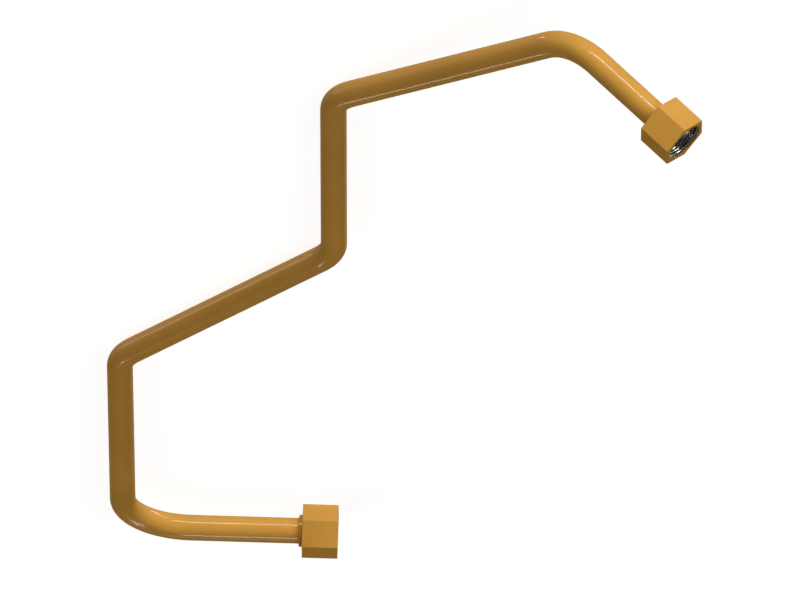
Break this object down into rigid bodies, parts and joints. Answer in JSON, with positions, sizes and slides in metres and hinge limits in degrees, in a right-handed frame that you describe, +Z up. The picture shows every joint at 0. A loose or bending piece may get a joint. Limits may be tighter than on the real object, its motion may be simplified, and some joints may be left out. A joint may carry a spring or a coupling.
{
  "type": "bent tube assembly",
  "caption": "Long steel hydraulic tube bent in several planes, with a brazed flat-face sleeve and a captive swivel nut on each end, that carries fluid between two ports of a machine.",
  "frame": {"origin": "centre of the lower sleeve's seal face, inside the lower nut's mouth", "axes": "+X leaves the lower nut's mouth along the lower end's axis, +Y runs level with the floor along the tube's length towards the upper end, +Z is up from the floor"},
  "size_m": [0.4315, 1.016, 0.1346],
  "materials": {
    "paint": "glossy ochre-yellow paint over steel"
  },
  "bodies": {
    "pipe": {"tube": "paint", "lower_sleeve": "paint", "upper_sleeve": "paint"},
    "lower_nut_body": {"lower_nut": "paint"},
    "upper_nut_body": {"upper_nut": "paint"}
  },
  "joints": [
    {"name": "lower_nut_swivel", "type": "hinge", "parent": "pipe", "child": "lower_nut_body", "pos_m": [0, 0, 0], "axis": [1, 0, 0], "continuous": true},
    {"name": "upper_nut_swivel", "type": "hinge", "parent": "pipe", "child": "upper_nut_body", "pos_m": [0.25352, 0.97544, 0.09703], "axis": [0.7259, 0.0152, 0.6876], "continuous": true}
  ]
}
